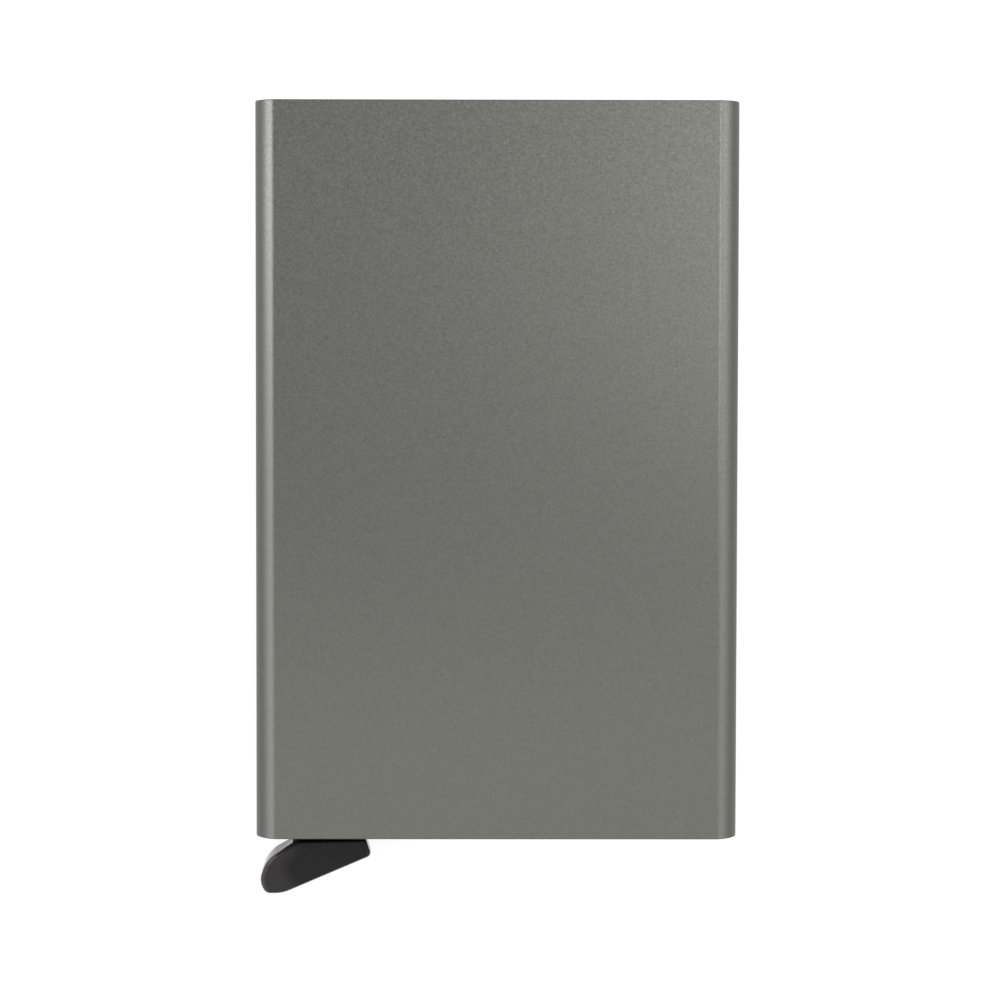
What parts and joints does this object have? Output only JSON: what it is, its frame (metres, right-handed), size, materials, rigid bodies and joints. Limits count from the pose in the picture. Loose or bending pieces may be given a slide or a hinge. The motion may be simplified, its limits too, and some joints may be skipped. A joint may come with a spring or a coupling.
{
  "type": "card holder",
  "caption": "Flat aluminium card holder, open at one end, with a hinged lever at a lower corner that pushes the cards out of the mouth in steps.",
  "frame": {"origin": "centre of the sleeve's flat back face", "axes": "+X across the width, away from the corner with the lever; +Y along the length, out of the open mouth; +Z out of the front face"},
  "size_m": [0.0624, 0.1028, 0.008],
  "materials": {
    "anodised_aluminium": "fine satin anodised, grey-green",
    "black_nylon": "fine spark-eroded texture",
    "bright_steel": "ground",
    "black_acetal": "satin",
    "rail_plastic": "matt",
    "grey_foam": "closed-cell foam",
    "black_velour": "short pile"
  },
  "bodies": {
    "housing": {"housing_sleeve": "anodised_aluminium", "base_frame": "black_nylon", "pivot_pin": "bright_steel", "left_side_rail": "rail_plastic", "right_side_rail": "rail_plastic", "left_foam_backing": "grey_foam", "right_foam_backing": "grey_foam", "left_pile_strip": "black_velour", "right_pile_strip": "black_velour"},
    "lever": {"eject_lever": "black_acetal"}
  },
  "joints": [
    {"name": "lever_hinge", "type": "hinge", "parent": "housing", "child": "lever", "pos_m": [-0.02605, -0.04245, 0.004], "axis": [0, 0, 1], "range_deg": [0, 38]}
  ]
}
